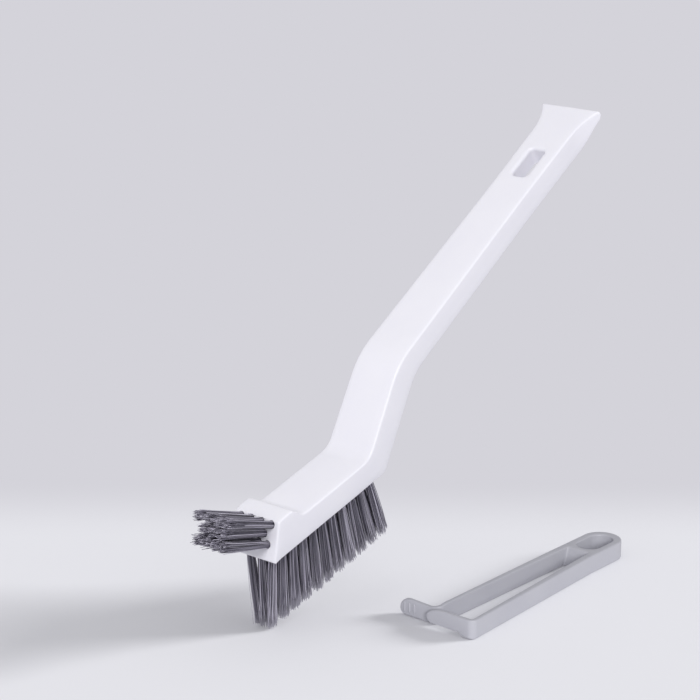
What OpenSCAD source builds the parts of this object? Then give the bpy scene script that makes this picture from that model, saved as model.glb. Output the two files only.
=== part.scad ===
// Grout brush with a moulded one-piece handle, bristle tufts under the head and on its front face,
// and a spring clip that lies beside it. All lengths are in millimetres and all angles in degrees.
// The brush is drawn level, with its front bottom edge at the origin, +X to the rear, and is then
// tipped onto the tips of its first row of lower tufts. Z = 0 is the floor.

/* [Head] */
// Length of the head's flat underside
head_len = 75.5; // [74:0.5:110]
// Width of the head
head_w = 25.3; // [24.5:0.1:34]
// Thickness of the head behind the front flange
head_h = 11.5; // [11:0.1:16]
// Height of the front flange above the underside
flange_h = 16.8; // [16.2:0.1:20]
// Set-back of the flange's top edge from the front bottom edge
flange_back = 7.9; // [5:0.1:10]
// Thickness of the flange at its top
flange_t = 8.6; // [7:0.1:11]
// Run of the slope behind the flange down to the head's top
flange_slope = 5.5; // [4:0.1:9]

/* [Neck] */
// Angle of the neck above the head
neck_angle = 46.3; // [35:0.1:55]
// Length of the neck between its two bends, along the top
neck_len = 43.4; // [38:0.1:70]
// Thickness of the neck
neck_t = 13.6; // [12.5:0.1:16]
// Width of the body at the upper bend
neck_w = 23.8; // [23:0.1:30]
// Radius of the lower bend, on the top side
lower_bend_r = 12; // [6:0.5:15]
// Radius of the upper bend, on the top side
upper_bend_r = 36; // [20:0.5:40]
// Radius of the heel, where the underside turns up into the neck
heel_r = 5; // [2:0.1:8]

/* [Handle] */
// Angle of the handle above the head
handle_angle = 16.7; // [10:0.1:25]
// Length of the handle from the upper bend to the tail, along the top
handle_len = 168.6; // [140:0.1:220]
// Thickness of the handle, from its top to the edges of its skirt
handle_t = 12; // [11:0.1:15]
// Width of the handle at its waist
waist_w = 21.6; // [21:0.1:26]
// Distance of the waist from the tail end
waist_back = 58; // [50:0.5:75]
// Width of the flared tail
tail_w = 33.4; // [30:0.1:40]
// Length of the flare
tail_flare = 18.5; // [14:0.1:24]
// Thickness of the tail's end
tail_t = 3; // [2.6:0.1:4]
// Length over which the skirt dies out into the tail
tail_sweep = 14; // [10:0.1:18]
// Wall of the moulding over the open channel in the underside
wall = 2.4; // [1.8:0.1:3]
// Distance of the channel's rear end from the tail end
channel_back = 24; // [21:0.5:28]
// Number of cross ribs in the channel
rib_count = 4; // [2:1:6]
// Thickness of a cross rib
rib_t = 1.6; // [1:0.1:2.4]
// Depth of a cross rib below the wall
rib_h = 4.5; // [2:0.1:6]
// Length of the hanging slot
slot_len = 18.4; // [12:0.1:22]
// Width of the hanging slot
slot_w = 8.6; // [6:0.1:10]
// Distance of the slot's centre from the tail end
slot_back = 39.4; // [36:0.1:46]
// Corner radius of the slot
slot_r = 2.4; // [1:0.1:3]
// Wall of the collar round the slot, inside the channel
slot_wall = 1.6; // [1:0.1:2.2]
// Depth of the slot and its collar, from the handle's top
slot_depth = 9; // [4:0.1:10]

/* [Lower tufts] */
// Rows of tufts along the head
lower_rows = 11; // [6:1:11]
// Tufts in each row
lower_cols = 3; // [3:1:4]
// Spacing of the rows
row_pitch = 6.4; // [5.8:0.05:6.6]
// Spacing of the tufts in a row
col_pitch = 6.4; // [5.5:0.05:6.6]
// Distance of the first row from the front edge
first_row = 5.5; // [4.4:0.1:6]
// Free length of the lower tufts
lower_len = 35.5; // [24:0.5:40]
// Forward lean of the first row
lean_front = 11.5; // [7:0.5:14]
// Rearward lean of the last row
lean_rear = 9.5; // [5:0.5:12]
// Gap between the tips of the tufts in a row, which lean inward to it
tip_gap = 0.15; // [0.1:0.05:1]
// Width of a lower tuft's tip along the head
lower_tip_x = 6.9; // [3.4:0.1:7]
// Width of a lower tuft's tip across the head
lower_tip_y = 3.1; // [2.6:0.1:3.4]

/* [Front tufts] */
// Spacing of the front tufts in the top row
top_pitch = 5.7; // [5:0.1:6]
// Spacing of the front tufts in the middle row
middle_pitch = 5; // [4.9:0.1:5.8]
// Spacing of the front tufts in the bottom row
bottom_pitch = 4.9; // [4.9:0.1:5.8]
// Distance of the top row below the flange's top edge, along the face
top_inset = 2.4; // [2.4:0.1:3.1]
// Spacing of the rows on the face
face_pitch = 4.45; // [4.2:0.05:4.6]
// Free length of the front tufts
front_len = 29; // [18:0.5:34]
// Rise of the top row's tufts above the head's plane
top_rise = 32.5; // [32:0.5:36]
// Rise of the bottom row's tufts above the head's plane
bottom_rise = 29.5; // [26:0.5:30]
// Width of a front tuft's tip
front_tip = 4.8; // [3.4:0.1:4.8]

/* [Tuft roots] */
// Diameter of a tuft where it leaves its hole
root_d = 3.3; // [2.6:0.1:3.4]
// Diametral clearance of a tuft in its hole
root_play = 0.1; // [0.06:0.01:0.2]
// Depth of the tuft holes
hole_depth = 6.5; // [5.5:0.1:7]
// Depth of the second row's holes, which end under the front holes
second_depth = 4.8; // [4:0.1:5]
// Depth of the first row's holes, which end under the front holes
first_depth = 2.5; // [2.4:0.1:2.6]
// Depth of the bottom front row's holes, which end over the first row
front_bottom_depth = 3; // [2.8:0.1:3.1]
// Thickness of the flat wire that anchors each tuft
anchor_t = 0.4; // [0.3:0.05:0.5]
// Height of an anchor in its hole
anchor_h = 1.5; // [1:0.1:1.6]

/* [Clip] */
// Distance of the ring hole's centre behind the brush's front edge
clip_x = 162.7; // [140:0.1:180]
// Distance of the ring hole's centre to the near side of the brush's centre line
clip_y = 62.5; // [58:0.1:80]
// Height of the clip as it lies
clip_h = 8.6; // [8:0.1:11]
// Width of the ring end
ring_w = 18.6; // [18:0.1:22]
// Length of the ring's oval hole
ring_hole_len = 20.4; // [18:0.1:24]
// Width of the ring's oval hole
ring_hole_w = 11.4; // [10:0.1:12.5]
// Wall of the ring at its end
ring_end = 4; // [2.5:0.1:5]
// Web between the ring's hole and the gap between the arms
ring_web = 6.4; // [5:0.1:8]
// Slope of the web's face, whose foot lies further out than its top
web_slope = 3.6; // [1:0.1:4.5]
// Thickness of the arms at their bends
arm_t = 2.2; // [1.8:0.1:2.4]
// Thickness of the arms at their roots in the ring
root_t = 3.5; // [2.4:0.1:3.8]
// Distance from the arms' roots to the front face of the crossing leg
arm_len = 93.3; // [70:0.1:110]
// Outward spread of the near arm at its bend
near_spread = 5.1; // [2:0.1:6]
// Inward lean of the far arm at its jaw
far_lean = 0.6; // [0:0.1:2]
// Reach of the near leg beyond the far arm's outer face
leg_reach = 2.5; // [0.5:0.1:4]
// Length of the round nose at the near leg's end
leg_nose = 9; // [4:0.1:10]
// Rise of the near leg's lower edge above the surface
leg_rise = 1.6; // [0:0.1:2.5]
// Reach of the far jaw beyond the far arm's outer face
jaw_reach = 19.4; // [12:0.1:22]
// Length of the round nose at the far jaw's end
jaw_nose = 5.4; // [4:0.1:8]
// Height of the far jaw
jaw_h = 7.8; // [7:0.1:8]
// Gap between the near leg and the far jaw behind it
jaw_gap = 0.9; // [0.9:0.05:1.2]
// Outer radius of the near arm's bend
bend_r = 3; // [2.6:0.1:4]
// Radius in the corner between the far arm and its jaw
jaw_bend_r = 2; // [1.5:0.1:4.5]
// Height of the grip ridges on the far jaw
ridge_h = 0.45; // [0.2:0.05:0.5]
// Radial clearance of an arm's root in the ring
root_gap = 0.05; // [0.03:0.01:0.1]

/* [Pose] */
// Downward tip of the brush's front, about its width
tip_angle = 16.3; // [0:0.1:16.5]

/* [Hidden] */
fine = 48;
eps = 0.01;
over = 1;

// Top line of the body: lower bend, upper bend and tail end
flange_foot = flange_back + flange_t + flange_slope;
heel = [head_len, 0];
neck_dir = [cos(neck_angle), sin(neck_angle)];
handle_dir = [cos(handle_angle), sin(handle_angle)];
neck_down = [sin(neck_angle), -cos(neck_angle)];
handle_down = [sin(handle_angle), -cos(handle_angle)];
// The neck's underside starts at the heel, so its top line lies neck_t above it.
lower_bend = [head_len - neck_t / sin(neck_angle) + head_h / tan(neck_angle), head_h];
upper_bend = lower_bend + neck_len * neck_dir;
tail_top = upper_bend + handle_len * handle_dir;
upper_under = crossing(heel, neck_dir, upper_bend + handle_t * handle_down, handle_dir);
sweep_under = tail_top - tail_sweep * handle_dir + handle_t * handle_down;
tail_under = tail_top + tail_t * handle_down;
sweep_r = 22;

// Half widths of the body against the distance from the front edge
waist_x = tail_top[0] - waist_back * cos(handle_angle);
flare_x = tail_top[0] - tail_flare * cos(handle_angle);
flare_w = waist_w + 0.7;
flare_rise = (tail_w - flare_w) / 2;
flare_run = tail_top[0] - flare_x;
flare_r = (pow(flare_run, 2) + pow(flare_rise, 2)) / (2 * flare_rise);
tail_reach = tail_under[0] - tail_top[0] + over;

// Channel in the underside
channel_start = 12;
channel_end = tail_top - channel_back * handle_dir;
channel_gap = channel_back - tail_sweep;

// Tuft holes
hole_d = root_d + root_play;
face_len = norm([flange_back, flange_h]);
face_dir = [flange_back, flange_h] / face_len;
front_counts = [4, 3, 4];
front_pitches = [top_pitch, middle_pitch, bottom_pitch];
front_depths = [hole_depth, hole_depth - 0.5, front_bottom_depth];
front_rows = len(front_counts);
end_gap = 0.2;

// Clip: its plan is drawn about the centre of the ring's hole
clip_origin = [clip_x, -clip_y];
ring_left = -ring_hole_len / 2 - ring_web;
ring_right = ring_hole_len / 2 + ring_end;
arm_y = ring_w / 2 - root_t / 2;
arm_gap = ring_w - 2 * root_t;
leg_x = ring_left - arm_len;
jaw_x = leg_x + arm_t + jaw_gap;
near_y = -ring_w / 2 - near_spread;
far_y = ring_w / 2 - far_lean;
nose_low = 3;
web_foot = 0.4;
ridge_count = 3;
ridge_pitch = 2.6;

// Place of the brush: the first row's tips stand on the floor, and the box's centre is the origin
low_tip = [first_row, 0] + lower_len * [-sin(lean_front), -cos(lean_front)]
    + lower_tip_x / 2 * [-cos(lean_front), sin(lean_front)];
lift = -tipped(low_tip)[1];
front_tip_x = min([for (row = [0 : front_rows - 1]) for (side = [-1, 1]) tipped(front_end(row, side))[0]]);
rear_x = max(tipped(tail_under)[0], tipped(tail_top)[0]);
mid_x = (front_tip_x + rear_x) / 2;
mid_y = (-clip_y + near_y + tail_w / 2) / 2;

LOWER = [for (r = [1 : lower_rows]) for (c = [1 : lower_cols]) str("lower_tuft_r", r, "_c", c)];
FRONT = [for (r = [1 : front_rows]) for (c = [1 : front_counts[r - 1]]) str("front_tuft_r", r, "_c", c)];

// Where a line through a along d meets a line through b along e
function crossing(a, d, b, e) = a + d * cross(b - a, e) / cross(d, e);

function unit(v) = v / norm(v);

// A point of the level brush's side view, tipped about the front edge
function tipped(p) = [
    p[0] * cos(tip_angle) - p[1] * sin(tip_angle),
    p[0] * sin(tip_angle) + p[1] * cos(tip_angle)
];

// The arc that rounds corner b between a and c
function corner(a, b, c, r, steps = 10) =
    let (
        u = unit(a - b),
        v = unit(c - b),
        half = acos(u * v) / 2,
        start = b + u * r / tan(half),
        middle = b + unit(u + v) * r / sin(half),
        from = start - middle,
        turn = (cross(u, v) > 0 ? -1 : 1) * (180 - 2 * half)
    )
    [for (k = [0 : steps]) let (t = turn * k / steps)
        middle + [from[0] * cos(t) - from[1] * sin(t), from[0] * sin(t) + from[1] * cos(t)]];

// A closed outline from corners given as [x, y, radius]
function rounded(p) =
    let (n = len(p))
    [for (k = [0 : n - 1])
        let (a = p[(k + n - 1) % n], b = p[k], c = p[(k + 1) % n])
        each b[2] > 0
            ? corner([a[0], a[1]], [b[0], b[1]], [c[0], c[1]], b[2])
            : [[b[0], b[1]]]];

function with_r(p, r) = [p[0], p[1], r];

// Side view of the body
function body_side() = rounded([
    [0, 0, 0.6],
    [flange_back, flange_h, 0.8],
    [flange_back + flange_t, flange_h, 1.5],
    [flange_foot, head_h, 6],
    with_r(lower_bend, lower_bend_r),
    with_r(upper_bend, upper_bend_r),
    with_r(tail_top, 0.6),
    with_r(tail_under, 0.6),
    with_r(sweep_under, sweep_r),
    with_r(upper_under, upper_bend_r - handle_t),
    with_r(heel, heel_r)
]);

// One long edge of the body's plan, at a distance inside its surface
function body_edge(inset) = concat(
    [
        [-over, head_w / 2 - inset],
        [lower_bend[0] - lower_bend_r, head_w / 2 - inset],
        [upper_bend[0], neck_w / 2 - inset],
        [waist_x, waist_w / 2 - inset]
    ],
    [for (k = [0 : 8])
        let (x = flare_run * k / 8)
        [flare_x + x, flare_w / 2 - inset + flare_r - sqrt(pow(flare_r, 2) - x * x)]],
    [[tail_top[0] + tail_reach, tail_w / 2 - inset]]
);

function both_sides(edge) = concat(edge, [for (k = [len(edge) - 1 : -1 : 0]) [edge[k][0], -edge[k][1]]]);

// Side view of the channel, open below
function channel_side() =
    let (
        top_start = lower_bend + channel_start * neck_dir + wall * neck_down,
        top_turn = crossing(lower_bend + wall * neck_down, neck_dir, upper_bend + wall * handle_down, handle_dir)
    )
    rounded([
        with_r(top_start, 1.5),
        with_r(top_turn, upper_bend_r - wall),
        with_r(channel_end + wall * handle_down, 3),
        with_r(channel_end + (handle_t + 4) * handle_down, 0),
        with_r(upper_under + 4 * handle_down, 0),
        with_r(top_start + (neck_t + 4) * neck_down, 0)
    ]);

module side_view(width) {
    rotate([90, 0, 0])
        linear_extrude(height = width, center = true)
            children();
}

module plan_view(edge) {
    translate([0, 0, -over])
        linear_extrude(height = tail_top[1] + 20)
            polygon(both_sides(edge));
}

// The level brush, tipped onto its first row of tufts and moved over the origin
module placed() {
    translate([-mid_x, -mid_y, lift])
        rotate([0, -tip_angle, 0])
            children();
}

module clip_placed() {
    translate([clip_origin[0] - mid_x, clip_origin[1] - mid_y, 0])
        children();
}

// Lean of a lower tuft, by its row and column
function lower_x(row) = first_row + (row - 1) * row_pitch;
function lower_y(col) = (col - (lower_cols + 1) / 2) * col_pitch;
function lower_lean(row) = lean_front - (lean_front + lean_rear) * (row - 1) / (lower_rows - 1);
function lower_tilt(col) = -asin(lower_y(col) * (1 - (lower_tip_y + tip_gap) / col_pitch) / lower_len);
function lower_depth(row) = row == 1 ? first_depth : row == 2 ? second_depth : hole_depth;

// Root, rise and far end of a front tuft, by its row from the top
function face_at(row) = face_dir * (face_len - top_inset - row * face_pitch);
function front_rise(row) = top_rise - (top_rise - bottom_rise) * row / (front_rows - 1);
function front_end(row, side) =
    let (a = front_rise(row))
    face_at(row) + front_len * [-cos(a), sin(a)] + side * front_tip / 2 * [sin(a), cos(a)];
function front_y(row, col) = (col - (front_counts[row] - 1) / 2) * front_pitches[row];

module at_lower(row, col) {
    translate([lower_x(row), lower_y(col), 0])
        rotate([lower_tilt(col), lower_lean(row), 0])
            children();
}

module at_front(row, col) {
    translate([face_at(row)[0], front_y(row, col), face_at(row)[1]])
        rotate([0, 90 + front_rise(row), 0])
            children();
}

// One tuft along -Z from its hole's mouth, folded round its anchor inside the hole
module tuft(length, depth, tip_x, tip_y) {
    difference() {
        union() {
            translate([0, 0, -eps])
                cylinder(d = root_d, h = depth - end_gap + eps, $fn = 24);
            rotate([180, 0, 0])
                linear_extrude(height = length, scale = [tip_x / root_d, tip_y / root_d], slices = 1)
                    circle(d = root_d, $fn = 24);
        }
        translate([0, 0, depth - end_gap - anchor_h / 2])
            cube([anchor_t + root_play, root_d + over, anchor_h + 2 * end_gap], center = true);
    }
}

module anchor(depth) {
    translate([0, 0, depth - end_gap - anchor_h / 2])
        cube([anchor_t, root_d - root_play, anchor_h], center = true);
}

// The tuft's hole runs through the surface, past the lowest edge of its slanted mouth.
module tuft_hole(depth) {
    translate([0, 0, -2.2])
        cylinder(d = hole_d, h = depth + 2.2, $fn = fine);
}

// A prism of the hanging slot's outline, grown by a margin, from above the handle's top to a depth
module slot_prism(grow, depth) {
    half_len = slot_len / 2 + grow;
    half_w = slot_w / 2 + grow;
    r = slot_r + grow;
    translate([tail_top[0], 0, tail_top[1]])
        rotate([0, -handle_angle, 0])
            translate([-slot_back, 0, -depth])
                linear_extrude(height = depth + over)
                    polygon(rounded([
                        [-half_len, -half_w, r],
                        [half_len, -half_w, r],
                        [half_len, half_w, r],
                        [-half_len, half_w, r]
                    ]));
}

// Cross ribs under the handle's wall, between the upper bend and the slot
module ribs() {
    rib_from = 20;
    rib_to = handle_len - slot_back - slot_len / 2 - 8;
    for (k = [0 : rib_count - 1])
        translate([upper_bend[0], 0, upper_bend[1]])
            rotate([0, -handle_angle, 0])
                translate([rib_from + (rib_to - rib_from) * k / (rib_count - 1), 0, -wall - rib_h / 2 + eps])
                    cube([rib_t, neck_w - wall - over, rib_h], center = true);
}

module handle() {
    color([0.93, 0.93, 0.95])
        placed()
            difference() {
                intersection() {
                    side_view(tail_w + 2 * over) polygon(body_side());
                    plan_view(body_edge(0));
                }
                difference() {
                    intersection() {
                        side_view(tail_w) polygon(channel_side());
                        plan_view(body_edge(wall));
                    }
                    ribs();
                    slot_prism(slot_wall, slot_depth);
                }
                slot_prism(0, slot_depth + over);
                for (row = [1 : lower_rows])
                    for (col = [1 : lower_cols])
                        at_lower(row, col) tuft_hole(lower_depth(row));
                for (row = [0 : front_rows - 1])
                    for (col = [0 : front_counts[row] - 1])
                        at_front(row, col) tuft_hole(front_depths[row]);
            }
}

module tuft_anchors() {
    color([0.75, 0.75, 0.78])
        placed() {
            for (row = [1 : lower_rows])
                for (col = [1 : lower_cols])
                    at_lower(row, col) anchor(lower_depth(row));
            for (row = [0 : front_rows - 1])
                for (col = [0 : front_counts[row] - 1])
                    at_front(row, col) anchor(front_depths[row]);
        }
}

module lower_tuft(row, col) {
    color([0.45, 0.44, 0.50])
        placed()
            at_lower(row, col) tuft(lower_len, lower_depth(row), lower_tip_x, lower_tip_y);
}

module front_tuft(row, col) {
    color([0.45, 0.44, 0.50])
        placed()
            at_front(row, col) tuft(front_len, front_depths[row], front_tip, front_tip);
}

// Socket in the ring for the rounded root of an arm
module arm_socket(side) {
    translate([ring_left, side * arm_y, -over])
        cylinder(r = root_t / 2 + root_gap, h = clip_h + 2 * over, $fn = fine);
}

module clip_ring() {
    round_x = ring_right - ring_w / 2;
    hole_x = (ring_hole_len - ring_hole_w) / 2;
    color([0.74, 0.74, 0.77])
        clip_placed()
            difference() {
                linear_extrude(height = clip_h)
                    union() {
                        translate([ring_left, -ring_w / 2]) square([round_x - ring_left, ring_w]);
                        translate([round_x, 0]) circle(d = ring_w, $fn = 96);
                    }
                translate([0, 0, -over])
                    linear_extrude(height = clip_h + 2 * over)
                        union() {
                            square([2 * hole_x, ring_hole_w], center = true);
                            for (side = [-1, 1])
                                translate([side * hole_x, 0]) circle(d = ring_hole_w, $fn = 64);
                        }
                side_view(arm_gap)
                    polygon([
                        [ring_left - over, -over],
                        [ring_left + web_foot, -over],
                        [ring_left + web_foot, 0],
                        [ring_left + web_slope, clip_h],
                        [ring_left + web_slope, clip_h + over],
                        [ring_left - over, clip_h + over]
                    ]);
                for (side = [-1, 1])
                    arm_socket(side);
            }
}

// A quarter of an ellipse about a centre, from one angle to another
function quarter(centre, rx, ry, from) =
    [for (k = [0 : 12]) let (t = from + 90 * k / 12) centre + [rx * cos(t), ry * sin(t)]];

// An upright leaf across the clip, from y_from to a round nose at y_to, with its lower edge raised
module leaf(x, y_from, y_to, height, nose, rise = 0) {
    translate([x, 0, 0])
        rotate([90, 0, 90])
            linear_extrude(height = arm_t)
                polygon(concat(
                    [[y_from, clip_h], [y_from, 0], [y_from + over, 0], [y_from + over + 2 * rise, rise]],
                    quarter([y_to - nose_low, rise + nose_low], nose_low, nose_low, 270),
                    quarter([y_to - nose, rise + nose_low], nose, height - rise - nose_low, 0)
                ));
}

module clip_near_arm() {
    stub_y = near_y + bend_r + over;
    color([0.72, 0.72, 0.76])
        clip_placed()
            union() {
                linear_extrude(height = clip_h)
                    polygon(rounded([
                        [ring_left, -arm_y - root_t / 2, 0],
                        [ring_left, -arm_y + root_t / 2, 0],
                        [leg_x + arm_t, near_y + arm_t, bend_r - arm_t],
                        [leg_x + arm_t, stub_y, 0],
                        [leg_x, stub_y, 0],
                        [leg_x, near_y, bend_r]
                    ]));
                translate([ring_left, -arm_y, 0])
                    cylinder(d = root_t, h = clip_h, $fn = fine);
                leaf(leg_x, stub_y - over, far_y + leg_reach, clip_h, leg_nose, leg_rise);
            }
}

// Upright ridges across the front of the far jaw's pad
module ridges(y_end) {
    for (k = [0 : ridge_count - 1])
        translate([jaw_x, y_end - jaw_nose + (1 - k) * ridge_pitch, jaw_h / 2])
            cylinder(r = ridge_h, h = jaw_h * 0.6, center = true, $fn = 24);
}

module clip_far_arm() {
    y_end = far_y + jaw_reach;
    stub_y = far_y + jaw_bend_r + over;
    color([0.72, 0.72, 0.76])
        clip_placed()
            union() {
                linear_extrude(height = clip_h)
                    polygon(rounded([
                        [ring_left, arm_y + root_t / 2, 0],
                        [ring_left, arm_y - root_t / 2, 0],
                        [jaw_x, far_y - arm_t, jaw_bend_r + arm_t],
                        [jaw_x, stub_y, 0],
                        [jaw_x + arm_t, stub_y, 0],
                        [jaw_x + arm_t, far_y, jaw_bend_r]
                    ]));
                translate([ring_left, arm_y, 0])
                    cylinder(d = root_t, h = clip_h, $fn = fine);
                leaf(jaw_x, stub_y - over, y_end, jaw_h, jaw_nose);
                ridges(y_end);
            }
}

handle();
tuft_anchors();
clip_ring();
clip_near_arm();
clip_far_arm();
for (r = [1 : lower_rows])
    for (c = [1 : lower_cols])
        lower_tuft(r, c);
for (r = [1 : front_rows])
    for (c = [1 : front_counts[r - 1]])
        front_tuft(r - 1, c - 1);
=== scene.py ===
import math
import random

import bmesh
import bpy
import numpy as np
from mathutils import Matrix, Vector


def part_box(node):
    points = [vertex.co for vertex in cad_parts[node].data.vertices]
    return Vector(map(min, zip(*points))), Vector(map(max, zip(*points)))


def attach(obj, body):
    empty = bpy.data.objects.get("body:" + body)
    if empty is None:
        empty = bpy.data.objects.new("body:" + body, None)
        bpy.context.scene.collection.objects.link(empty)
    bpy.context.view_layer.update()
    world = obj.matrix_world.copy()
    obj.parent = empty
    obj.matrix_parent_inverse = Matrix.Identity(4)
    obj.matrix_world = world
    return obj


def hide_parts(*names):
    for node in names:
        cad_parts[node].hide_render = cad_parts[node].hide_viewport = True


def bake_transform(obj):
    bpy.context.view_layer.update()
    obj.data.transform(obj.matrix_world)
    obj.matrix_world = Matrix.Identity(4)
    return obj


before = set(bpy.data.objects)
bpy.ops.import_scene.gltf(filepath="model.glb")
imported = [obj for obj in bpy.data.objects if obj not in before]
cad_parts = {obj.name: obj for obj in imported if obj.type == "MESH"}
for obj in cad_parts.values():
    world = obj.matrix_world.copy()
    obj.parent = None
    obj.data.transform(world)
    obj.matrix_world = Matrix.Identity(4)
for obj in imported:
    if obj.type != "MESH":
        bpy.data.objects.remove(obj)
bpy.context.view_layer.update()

# Sizes in millimetres for the level brush, most of them as in the part's source:
# x to the rear from the front bottom edge, y to the far side, z up from the head's underside.
TIP = math.radians(16.3)
HEAD_LEN, HEAD_W, HEAD_H = 75.5, 25.3, 11.5
FLANGE_H, FLANGE_BACK, FLANGE_T, FLANGE_SLOPE = 16.8, 7.9, 8.6, 5.5
FLANGE_R, FOOT_R, FLAT_AHEAD, FLAT_CLOSE = 2.2, 6.5, 3.5, 1.5
NECK_A, NECK_LEN, NECK_T, NECK_W = math.radians(46.3), 43.4, 13.6, 23.8
LOWER_R, UPPER_R, HEEL_R = 12.0, 36.0, 5.0
HANDLE_A, HANDLE_LEN, HANDLE_T = math.radians(16.7), 168.6, 12.0
WAIST_W, WAIST_BACK, FLARE_GROW, EASED_BACK = 21.6, 58.0, 0.7, 26.0
TAIL_W, TAIL_FLARE, TAIL_T, TAIL_SWEEP, SWEEP_R = 33.4, 18.5, 3.0, 14.0, 22.0
WALL, CHANNEL_START, CHANNEL_BACK = 2.4, 12.0, 24.0
SLOT_LEN, SLOT_W, SLOT_BACK, SLOT_R, SLOT_WALL, SLOT_DEPTH = 18.4, 8.6, 39.4, 2.4, 1.6, 9.0
RIBS, RIB_T, RIB_H, RIB_START, RIB_STOP, RIB_SUNK = 4, 1.6, 4.5, 20.0, 8.0, 0.3
ROWS, COLS, ROW_PITCH, COL_PITCH, FIRST_ROW = 11, 3, 6.4, 6.4, 5.5
LOWER_LEN, LEAN_FRONT, LEAN_REAR, TIP_GAP = 35.5, 11.5, 9.5, 0.15
LOWER_TIP = (6.9, 3.1)
FRONT_COUNTS, FRONT_PITCHES = (4, 3, 4), (5.7, 5.0, 4.9)
TOP_INSET, FACE_PITCH, FRONT_LEN, TOP_RISE, BOTTOM_RISE = 2.4, 4.45, 29.0, 32.5, 29.5
FRONT_TIP = (4.8, 4.8)
ROOT_D, HOLE_GAP, HOLE_OUT, HOLE_IN = 3.3, 0.18, 2.2, 2.5

# The moulding's fine shape: rounded ends, top rims and lips, the channel's rounded ceiling,
# its draft and the run-out at its ends, and the top's slight crown.
END_R, TOP_R, LIP_R, CEILING_R = 0.9, 0.95, 0.55, 1.6
DRAFT, CROWN, CROWN_INSET, LEAST_TOP, THIN_SHARE = 0.24, 0.16, 0.2, 1.2, 0.4
RUN_OUT, RUN_OUT_POWER = 2.4, 2.2

# Edges over these angles stay sharp in the shading.
SHARP, BODY_SHARP, RIB_SHARP, CLIP_SHARP = (math.radians(a) for a in (40, 38, 35, 50))

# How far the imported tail's rounded edges stay inside its drawn corners.
TAIL_SHORT, TAIL_LOW = 0.14, 0.03


def v2(x, z):
    """A point or direction in the brush's middle plane."""
    return np.array((x, z), float)


def unit(v):
    """The direction of a vector, with length 1."""
    return v / np.linalg.norm(v)


def cross2(a, b):
    """The cross product of two plane vectors, which is positive for a turn to the left."""
    return a[0] * b[1] - a[1] * b[0]


def crossing(a, d, b, e):
    """Where the line from a along d meets the line from b along e."""
    return a + d * cross2(b - a, e) / cross2(d, e)


neck_dir = v2(math.cos(NECK_A), math.sin(NECK_A))
handle_dir = v2(math.cos(HANDLE_A), math.sin(HANDLE_A))
handle_down = v2(math.sin(HANDLE_A), -math.cos(HANDLE_A))
front_edge = v2(0, 0)
heel = v2(HEAD_LEN, 0)
flange_top = v2(FLANGE_BACK, FLANGE_H)
flange_rear = v2(FLANGE_BACK + FLANGE_T, FLANGE_H)
flange_foot = v2(FLANGE_BACK + FLANGE_T + FLANGE_SLOPE, HEAD_H)
lower_bend = v2(HEAD_LEN - NECK_T / math.sin(NECK_A) + HEAD_H / math.tan(NECK_A), HEAD_H)
upper_bend = lower_bend + NECK_LEN * neck_dir
tail_top = upper_bend + HANDLE_LEN * handle_dir
upper_under = crossing(heel, neck_dir, upper_bend + HANDLE_T * handle_down, handle_dir)
sweep_under = tail_top - TAIL_SWEEP * handle_dir + HANDLE_T * handle_down
tail_under = tail_top + TAIL_T * handle_down
waist_x = tail_top[0] - WAIST_BACK * math.cos(HANDLE_A)
flare_x = tail_top[0] - TAIL_FLARE * math.cos(HANDLE_A)
flare_w = WAIST_W + FLARE_GROW


def tipped(p):
    """A point of the middle plane, turned as the brush stands tipped."""
    c, s = math.cos(TIP), math.sin(TIP)
    return v2(p[0] * c - p[1] * s, p[0] * s + p[1] * c)


# The brush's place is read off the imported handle: its tail is the rear and top end of its box,
# and its middle plane is the middle of the box.
handle_low, handle_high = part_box("handle")
OFF_X = handle_high.x * 1000 - max(tipped(tail_top)[0], tipped(tail_under)[0] - TAIL_SHORT)
OFF_Z = handle_high.z * 1000 - tipped(tail_top)[1] + TAIL_LOW
MID_Y = (handle_low.y + handle_high.y) * 500


def to_row(points):
    """Points of the level brush in millimetres, to the row frame in metres."""
    x, y, z = np.asarray(points, float).reshape(-1, 3).T
    c, s = math.cos(TIP), math.sin(TIP)
    return np.stack((x * c - z * s + OFF_X, y + MID_Y, x * s + z * c + OFF_Z), 1) / 1000


def put(name, data):
    """A linked object for a mesh, a lamp or a camera."""
    obj = bpy.data.objects.new(name, data)
    bpy.context.collection.objects.link(obj)
    return obj


def smooth_object(name, bm, mesh, sharp):
    """The object of a finished bmesh, smooth but for edges over the sharp angle."""
    bmesh.ops.recalc_face_normals(bm, faces=bm.faces)
    bm.to_mesh(mesh)
    bm.free()
    mesh.shade_smooth()
    if sharp:
        mesh.set_sharp_from_angle(angle=sharp)
    return put(name, mesh)


def new_object(name, verts, faces, sharp=SHARP):
    """A mesh object out of points and faces."""
    mesh = bpy.data.meshes.new(name)
    mesh.from_pydata([tuple(v) for v in verts], [], [tuple(f) for f in faces])
    mesh.validate()
    bm = bmesh.new()
    bm.from_mesh(mesh)
    return smooth_object(name, bm, mesh, sharp)


def join(name, parts):
    """One object out of several, which keep their own shading."""
    bm = bmesh.new()
    for part in parts:
        bm.from_mesh(part.data)
        old = part.data
        bpy.data.objects.remove(part)
        bpy.data.meshes.remove(old)
    mesh = bpy.data.meshes.new(name)
    bm.to_mesh(mesh)
    bm.free()
    return put(name, mesh)


def bands(rings, count, base=0, closed=False):
    """Faces between neighbouring rings of count points, and from the last ring to the first if closed."""
    faces = []
    for i in range(rings if closed else rings - 1):
        low, high = base + i * count, base + (i + 1) % rings * count
        for j in range(count):
            k = (j + 1) % count
            faces.append((low + j, low + k, high + k, high + j))
    return faces


def whole_faces(faces):
    """Faces without repeated corners, and none with fewer than three."""
    trimmed = [tuple(dict.fromkeys(face)) for face in faces]
    return [face for face in trimmed if len(face) > 2]


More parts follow.
